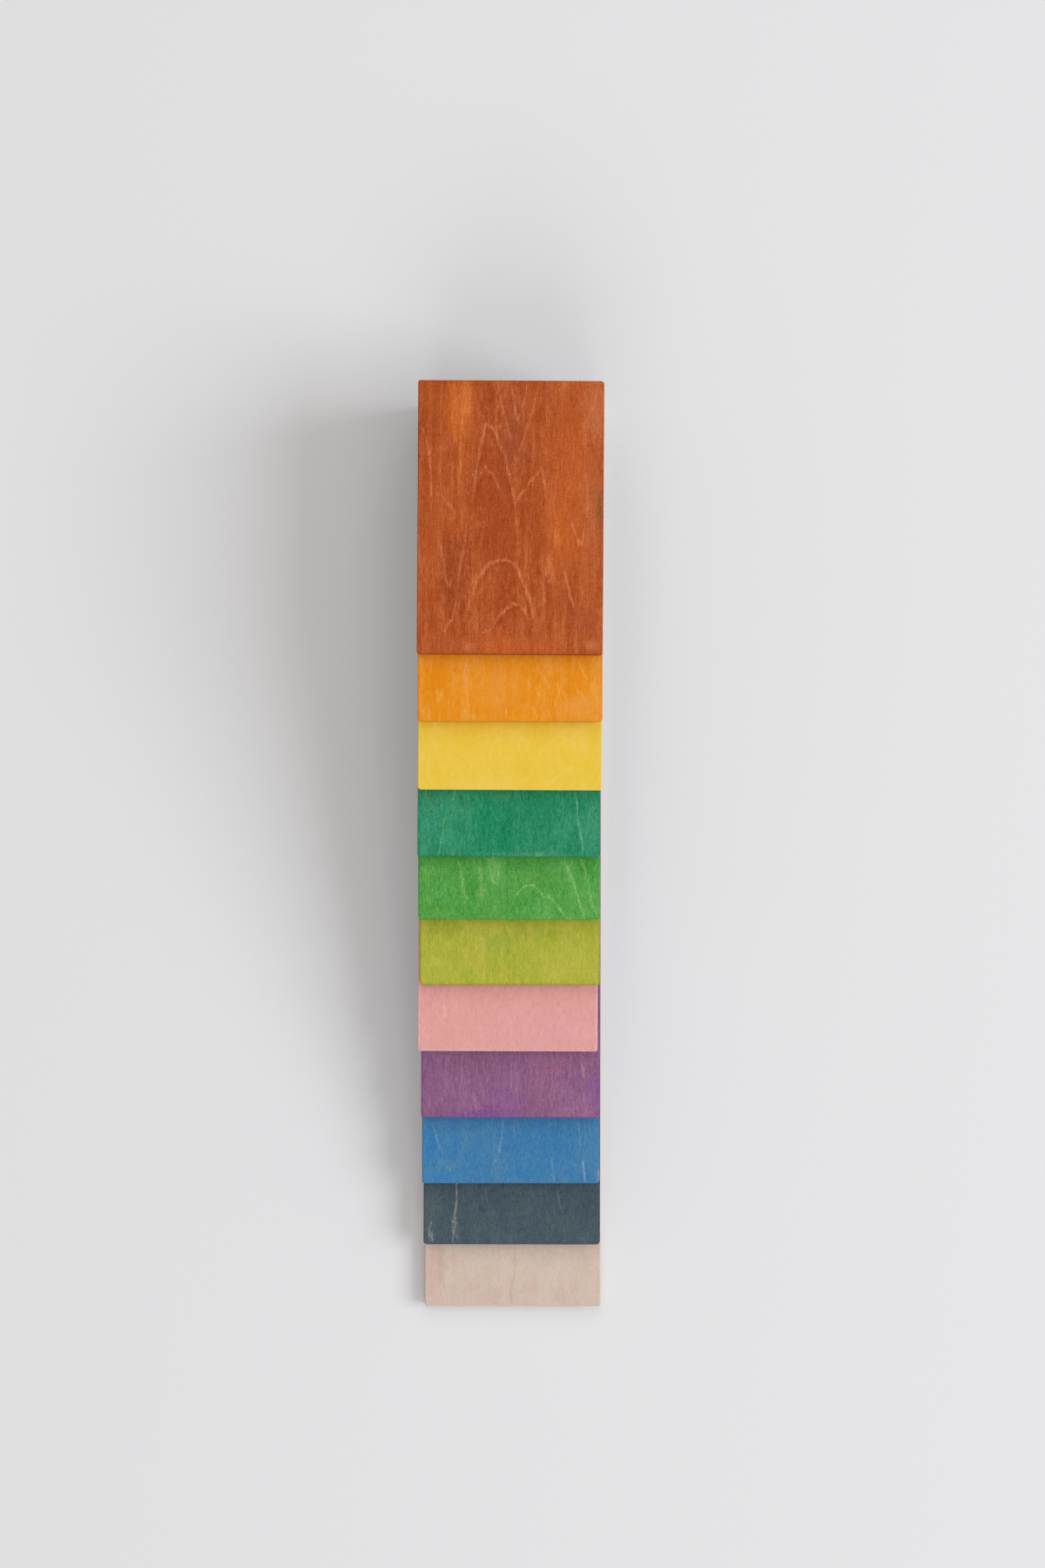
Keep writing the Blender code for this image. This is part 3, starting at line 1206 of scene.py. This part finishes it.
EMERALD = Plank(
    "emerald",
    Finish(body=(46, 134, 97), shade=(25, 120, 82), pale=(70, 150, 113), line=(116, 184, 150),
           rim=(36, 124, 90), fibre=12.4, cloud=0.5, mottle=0.25, band=0.35, warmth=4.0),
    Figure(8.0, teeth=1.6, sway=0.6, marks=(
        Patch((-29.0, 11.0), (6.0, 11.0), 0.5, (60, 142, 111)),
        Patch((-21.5, 5.5), (4.5, 7.5), 0.6, (68, 152, 117)),
        Patch((-29.5, 22.0), (7.0, 5.0), 0.55, (68, 130, 100)),
        Patch((-3.0, 23.4), (6.0, 2.6), 0.5, (64, 130, 92)),
        Patch((31.0, 10.0), (4.0, 15.0), 0.65, (68, 146, 112)),
        Patch((20.0, 13.0), (4.5, 12.0), 0.3, (62, 146, 111)),
        Patch((14.0, 15.0), (10.0, 9.0), 0.15, (28, 124, 84)),
        Patch((-9.0, 14.0), (8.0, 9.0), 0.6, (22, 127, 86)),
        Patch((1.0, 5.5), (9.0, 8.0), 0.6, (24, 124, 85)),
        Patch((-21.0, 18.0), (3.5, 7.0), 0.55, (64, 149, 114)),
        Streak(((-19.8, 25.0), (-21.1, 20.8)), 0.8, 0.7, (108, 168, 126)),
        Streak(((-24.2, 13.8), (-24.7, 7.4)), 0.9, 0.65, (120, 166, 118)),
        Streak(((-24.5, 8.6), (-25.3, 4.5), (-26.3, 0.1)), 0.8, 0.9),
        Patch((-22.8, 1.4), (1.2, 1.4), 0.5, (74, 130, 82)),
        Streak(((24.4, 25.2), (25.3, 19.5), (26.1, 12.0), (27.0, 6.0), (27.9, 0.1)), 0.65, 0.7),
        Patch((11.5, 0.8), (2.0, 1.6), 0.7, (98, 164, 124)),
        Patch((4.0, 0.8), (30.0, 1.0), 0.3, (84, 158, 122)),
    )),
    corners_mm=(0.9, 1.0, 1.2, 1.2),
)

YELLOW = Plank(
    "yellow",
    Finish(body=(230, 195, 72), shade=(225, 188, 60), pale=(234, 203, 98), line=(242, 214, 122),
           rim=(234, 200, 84), rim_reach_mm=0.7, fibre=1.9, grain_mm=(0.5, 1.4), cloud=0.5, mottle=0.4,
           band=0.2, warmth=2.0),
    Figure(9.0, teeth=1.2, sway=0.8, marks=(
        Patch((-12.0, 1.8), (18.0, 2.6), 0.45, (233, 198, 94)),
        Streak(((10.4, 5.2), (13.4, 3.4), (15.8, 3.0), (18.2, 5.2), (20.6, 7.2), (24.2, 8.2), (27.4, 7.0)),
                0.9, 0.3),
        Streak(((3.8, 1.2), (5.2, 3.8), (8.6, 5.8)), 0.8, 0.25),
        Streak(((3.9, 22.5), (2.6, 19.0), (1.2, 15.0)), 0.6, 0.45, (220, 182, 56)),
        Streak(((-21.0, 7.0), (-21.2, 0.5)), 0.7, 0.35),
        Streak(((-29.6, 14.0), (-29.8, 4.0)), 0.6, 0.25),
    )),
    corners_mm=(1.2, 0.9, 1.2, 1.2),
)

ORANGE = Plank(
    "orange",
    Finish(body=(227, 142, 36), shade=(221, 129, 4), pale=(231, 157, 72), line=(240, 178, 96),
           rim=(222, 136, 34), fibre=6.0, cloud=0.5, mottle=0.5, band=0.5, warmth=2.0),
    Figure(10.0, teeth=1.3, sway=0.6, marks=(
        Patch((25.0, 5.0), (9.0, 5.5), 0.6, (229, 153, 68)),
        Patch((2.0, 13.0), (3.0, 8.0), 0.45, (229, 152, 62)),
        Patch((-4.5, 12.0), (4.5, 15.0), 0.6, (229, 154, 64)),
        Patch((-28.0, 15.0), (10.0, 14.0), 0.5, (225, 136, 18)),
        Patch((-8.0, 9.0), (7.0, 5.0), 0.4, (228, 151, 60)),
        Patch((27.0, 15.0), (5.0, 3.0), 0.55, (226, 136, 14)),
        Patch((18.0, 16.4), (3.0, 3.0), 0.45, (226, 136, 14)),
        Patch((-28.0, 19.0), (2.4, 7.0), 0.5, (224, 134, 12)),
        Patch((-21.0, 1.8), (4.0, 1.8), 0.5, (225, 136, 14)),
        Patch((4.0, 1.4), (6.0, 1.6), 0.5, (228, 144, 18)),
        Streak(((-26.4, 12.2), (-26.8, 9.4), (-25.8, 6.0)), 0.8, 0.6),
        Streak(((-25.4, 11.0), (-25.2, 7.6)), 0.9, 0.5),
        Streak(((24.9, 23.0), (26.9, 17.6), (29.8, 13.6)), 0.6, 0.65),
        Streak(((24.6, 12.2), (25.6, 9.8)), 0.7, 0.5),
        Streak(((25.9, 11.6), (27.7, 7.2)), 0.7, 0.55),
        Streak(((33.2, 24.4), (32.0, 19.6)), 0.6, 0.4),
        Streak(((6.4, 15.6), (8.0, 11.0)), 0.7, 0.55),
        Streak(((7.6, 20.6), (8.8, 17.8)), 0.6, 0.45),
        Streak(((11.0, 18.4), (13.8, 14.0)), 0.6, 0.55),
        Streak(((10.0, 11.4), (12.2, 7.6)), 0.6, 0.5),
        Streak(((12.6, 22.0), (13.4, 19.8)), 0.6, 0.4),
        Streak(((17.4, 14.4), (18.1, 8.6)), 0.6, 0.5),
        Streak(((16.6, 8.6), (17.1, 4.6)), 0.6, 0.45),
        Streak(((17.0, 4.6), (18.2, 0.2)), 0.6, 0.65),
        Streak(((8.1, 5.8), (9.9, 0.8)), 0.7, 0.7),
        Streak(((13.8, 4.4), (14.7, 1.4)), 0.6, 0.55),
        Streak(((24.8, 4.0), (25.2, 0.2)), 0.5, 0.45),
        Streak(((28.4, 4.0), (29.2, 1.0)), 0.6, 0.45),
        Streak(((-1.5, 5.2), (-1.2, 0.4)), 0.7, 0.5),
        Streak(((-13.5, 3.0), (-13.5, 0.2)), 0.7, 0.5),
        Streak(((-2.0, 18.0), (-2.3, 8.0)), 0.5, 0.35),
        Streak(((-29.0, 24.6), (-29.2, 17.0)), 0.8, 0.45),
        Streak(((-32.2, 24.8), (-32.4, 12.0), (-32.2, 0.4)), 0.8, 0.5),
    )),
)

TERRACOTTA = Plank(
    "terracotta",
    Finish(body=(172, 84, 44), shade=(150, 64, 29), pale=(193, 105, 61), line=(210, 126, 82),
           rim=(150, 68, 38), rim_share=0.5, rim_reach_mm=0.7, fibre=11.5, grain_mm=(0.42, 6.5), cloud=0.4,
           mottle=0.3, band=0.65, warmth=4.0),
    Figure(11.0, teeth=4.0, tooth_mm=1.7, open_mm=105.0, marks=(
        Patch((-4.0, 52.0), (10.0, 46.0), 0.65, (160, 72, 38)),
        Patch((0.5, 82.0), (7.0, 22.0), 0.65, (157, 78, 51)),
        Patch((-18.5, 90.0), (6.0, 15.0), 0.85, (196, 101, 46)),
        Patch((-31.5, 84.5), (3.5, 7.0), 0.6, (158, 76, 42)),
        Patch((-7.5, 91.0), (6.0, 14.0), 0.7, (156, 71, 35)),
        Patch((23.0, 62.0), (11.0, 40.0), 0.65, (188, 94, 46)),
        Patch((30.5, 90.0), (6.0, 17.0), 0.8, (192, 108, 66)),
        Patch((29.5, 56.0), (5.5, 22.0), 0.5, (186, 104, 63)),
        Patch((18.0, 44.0), (8.0, 16.0), 0.5, (192, 98, 44)),
        Patch((-28.0, 50.0), (6.0, 18.0), 0.45, (182, 91, 47)),
        Patch((-20.0, 28.0), (8.0, 18.0), 0.65, (153, 72, 42)),
        Patch((-5.0, 18.0), (16.0, 8.0), 0.45, (160, 73, 35)),
        Patch((27.0, 13.0), (9.0, 9.0), 0.5, (162, 80, 50)),
        Patch((-2.0, 2.8), (26.0, 5.0), 0.7, (188, 93, 46)),
        Patch((14.2, 33.0), (1.8, 6.0), 0.85, (206, 117, 64)),
        Patch((16.8, 43.0), (1.5, 6.0), 0.8, (206, 115, 54)),
        Patch((30.0, 3.5), (4.0, 2.6), 0.6, (198, 114, 70)),
        Patch((-15.5, 3.0), (3.5, 2.6), 0.6, (196, 110, 68)),
        Patch((32.6, 53.0), (2.6, 9.0), 0.75, (138, 86, 54)),
        Patch((-16.4, 92.5), (3.0, 9.5), 0.7, (208, 116, 60)),
        Patch((-20.5, 87.0), (1.8, 14.0), 0.6, (202, 110, 52)),
        Streak(((-17.0, 92.0), (-18.2, 80.0), (-19.2, 58.0)), 1.0, 0.8, (216, 128, 66)),
        Streak(((-17.6, 46.0), (-18.4, 62.0)), 0.8, 0.5, (206, 116, 60)),
        Streak(((-25.5, 98.0), (-25.7, 60.0)), 0.7, 0.45),
        Streak(((-32.4, 82.0), (-31.2, 79.5), (-30.2, 75.0), (-29.0, 65.0), (-29.1, 52.0)), 0.8, 0.85),
        Streak(((-27.4, 60.0), (-24.5, 57.0), (-19.2, 51.0)), 0.8, 0.6),
        Streak(((30.9, 95.0), (29.5, 89.0)), 0.8, 0.6),
        Streak(((27.6, 66.0), (27.8, 50.0)), 0.8, 0.6),
        Streak(((26.8, 88.0), (27.0, 72.0)), 0.8, 0.5),
        Streak(((-18.9, 23.0), (-18.5, 30.0), (-17.0, 39.0), (-16.0, 48.0)), 0.8, 0.6),
        Streak(((-19.8, 19.0), (-21.0, 13.0), (-23.3, 10.3), (-24.2, 8.6)), 0.8, 0.75),
        Streak(((18.2, 37.0), (20.2, 29.0), (22.0, 22.0), (24.0, 16.0)), 0.9, 0.75),
        Streak(((11.9, 27.5), (12.4, 24.0), (13.2, 19.0)), 0.8, 0.55),
        Arch((2.3, 86.7), (-0.3, 101.0), (6.2, 101.0), 1.5, 0.65, 0.7, 0.2),
        Arch((2.2, 71.0), (-5.6, 101.0), (10.8, 101.0), 1.1, 0.6, 0.7, 0.25),
        Arch((-8.4, 83.5), (-14.0, 57.0), (1.4, 57.0), 1.7, 0.85, 1.0, 0.6),
        Arch((2.1, 56.0), (-0.9, 63.5), (11.4, 69.0), 1.05, 0.9, 1.0, 0.2),
        Arch((11.2, 68.8), (10.0, 67.5), (12.8, 58.0), 1.2, 0.6, 0.8, 0.2),
        Arch((-9.2, 68.2), (-12.8, 62.0), (-1.8, 56.0), 1.3, 0.5, 0.8, 0.15),
        Arch((-3.0, 34.6), (-17.2, 10.0), (9.6, 10.0), 2.3, 0.95, 1.1, 0.4),
        Arch((2.0, 18.2), (-6.8, 8.6), (8.4, 8.6), 1.9, 0.9, 1.05, 0.5),
        Streak(((-6.4, 9.0), (-10.5, 7.4)), 0.8, 0.6),
        Arch((-22.4, 25.0), (-26.5, 48.0), (-21.2, 28.0), 1.4, 0.7, 0.8, 0.2),
        Arch((25.7, 39.6), (21.6, 50.0), (27.2, 47.0), 1.3, 0.75, 0.8, 0.2),
        Arch((14.4, 27.4), (12.0, 37.0), (15.8, 37.0), 2.2, 0.65, 0.8, 0.2),
    )),
    corners_mm=(0.8, 0.8, 0.8, 1.3),
)

# From the ground up.
PLANKS = (NATURAL, SLATE, BLUE, PURPLE, PINK, LIME, GREEN, EMERALD, YELLOW, ORANGE, TERRACOTTA)


@dataclass(frozen=True)
class Lamp:
    """A square soft lamp that looks at the stack: where it stands, its size, and how much light it gives.

    Bearing and height are in degrees. The level is the share of a plain full light that the lamp lays on the
    floor under the stack.
    """

    name: str
    bearing: float
    height: float
    distance: float
    width: float
    level: float
    tint: Triple


@dataclass
class Studio:
    """The pale floor, the soft light and the camera straight above.

    fade_span is how far from the middle of the stack the floor begins to take on the backdrop's colour, and
    has all of it.
    """

    floor_colour: Colour = (224, 224, 226)
    floor_roughness: float = 0.9
    floor_half: float = 3.0
    floor_lines: int = 9
    floor_drop: float = 0.2 * MM
    room_colour: Triple = (0.415, 0.402, 0.392)
    backdrop_colour: Triple = (0.74, 0.74, 0.75)
    fade_span: Point = (0.6, 2.2)
    lamps: tuple[Lamp, ...] = (
        Lamp("window", -4.0, 42.0, 4.0, 2.4, 0.4, (0.95, 0.99, 1.03)),
        Lamp("back_fill", 90.0, 54.0, 4.0, 2.9, 0.16, (1.01, 1.0, 0.98)),
        Lamp("front_fill", -90.0, 48.0, 4.0, 2.4, 0.15, (1.02, 1.0, 0.97)),
    )
    camera_place: Triple = (0.00448, 0.02655, 1.1875)
    camera_lens: float = 70.0
    camera_sensor: float = 36.0

    def floor(self) -> None:
        """Lay the floor as a flat grid of points, a hair below the boards."""
        line = np.linspace(-self.floor_half, self.floor_half, self.floor_lines)
        x, y = np.meshgrid(line, line, indexing="ij")
        points = np.stack((x, y, np.full_like(x, -self.floor_drop)), axis=-1).reshape(-1, 3)
        mesh = bpy.data.meshes.new("floor")
        mesh.from_pydata(points.tolist(), [], lattice_faces(x.shape).tolist())
        mesh.materials.append(self._floor_paint())
        floor = bpy.data.objects.new("floor", mesh)
        bpy.context.scene.collection.objects.link(floor)

    def _floor_paint(self) -> bpy.types.Material:
        """Matt pale paint. Far from the stack the eye sees the backdrop's colour, and it still takes light.

        Returns:
            The material.
        """
        material = bpy.data.materials.new("pale_floor")
        material.use_nodes = True
        nodes = material.node_tree.nodes
        graph = Graph(material.node_tree)
        paint = graph.fill(nodes["Principled BSDF"], Base_Color=linear(self.floor_colour),
                           Roughness=self.floor_roughness, Specular_IOR_Level=0.0)["BSDF"]
        glow = graph.fill(graph.add("ShaderNodeEmission"), Color=(*self.backdrop_colour, 1.0))["Emission"]
        away = graph.maths("LENGTH", graph.fill(graph.add("ShaderNodeTexCoord"))["Object"])
        share = self._seen(graph) * graph.ease(away, *self.fade_span)
        blend = graph.add("ShaderNodeMixShader")
        for socket, source in zip(blend.inputs, (share, paint, glow)):
            graph.feed(socket, source)
        graph.fill(nodes["Material Output"], Surface=graph.fill(blend)["Shader"])
        return material

    @staticmethod
    def _seen(graph: Graph) -> Wire:
        """A mask that is 1 for what the eye, a reflection or glass sees, and 0 for light on its way."""
        path = graph.fill(graph.add("ShaderNodeLightPath"))
        seen = graph.maths("MAXIMUM", path["Is Glossy Ray"], path["Is Transmission Ray"])
        return graph.maths("MAXIMUM", path["Is Camera Ray"], seen)

    def light(self) -> None:
        """Fill the room with even light behind a pale backdrop, and set up the lamps.

        A lamp's power is its level times pi squared times its distance squared, over the sine of its height.
        """
        world = bpy.data.worlds.new("soft_room")
        world.use_nodes = True
        graph = Graph(world.node_tree)
        colour = graph.mix(self._seen(graph), (*self.room_colour, 1.0), (*self.backdrop_colour, 1.0))
        graph.fill(world.node_tree.nodes["Background"], Color=colour)
        bpy.context.scene.world = world
        for lamp in self.lamps:
            bearing, height = math.radians(lamp.bearing), math.radians(lamp.height)
            flat, rise = math.cos(height), math.sin(height)
            place = lamp.distance * Vector((flat * math.cos(bearing), flat * math.sin(bearing), rise))
            data = bpy.data.lights.new(lamp.name, "AREA")
            data.shape = "SQUARE"
            data.size = lamp.width
            data.energy = lamp.level * (math.pi * lamp.distance) ** 2 / rise
            data.color = lamp.tint
            stand = bpy.data.objects.new(lamp.name, data)
            stand.location = place
            stand.rotation_mode = "QUATERNION"
            stand.rotation_quaternion = (-place).to_track_quat("-Z", "Y")
            bpy.context.scene.collection.objects.link(stand)

    def camera(self) -> None:
        """Hang the camera above the stack, looking straight down with the back ends at the top."""
        data = bpy.data.cameras.new("overhead")
        data.lens = self.camera_lens
        data.sensor_width = self.camera_sensor
        camera = bpy.data.objects.new("overhead", data)
        camera.location = self.camera_place
        bpy.context.scene.collection.objects.link(camera)
        bpy.context.scene.camera = camera


def main() -> None:
    """Build the studio and the boards, and note each board's faces and size."""
    logging.basicConfig(level=logging.INFO, format="%(name)s: %(message)s")
    bpy.context.scene.view_settings.view_transform = "Standard"
    studio = Studio()
    studio.camera()
    studio.light()
    studio.floor()
    effects = WoodEffects()
    for plank in PLANKS:
        plank.measure()
        piece = plank.build()
        plank.dress(piece, effects)
        plank.join(piece)
        faces = len(piece.data.polygons)
        log.info("%s: %d faces, %.1f x %.1f x %.1f mm", piece.name, faces, *(plank.size / MM))
    bpy.context.view_layer.update()


if __name__ == "__main__":
    main()
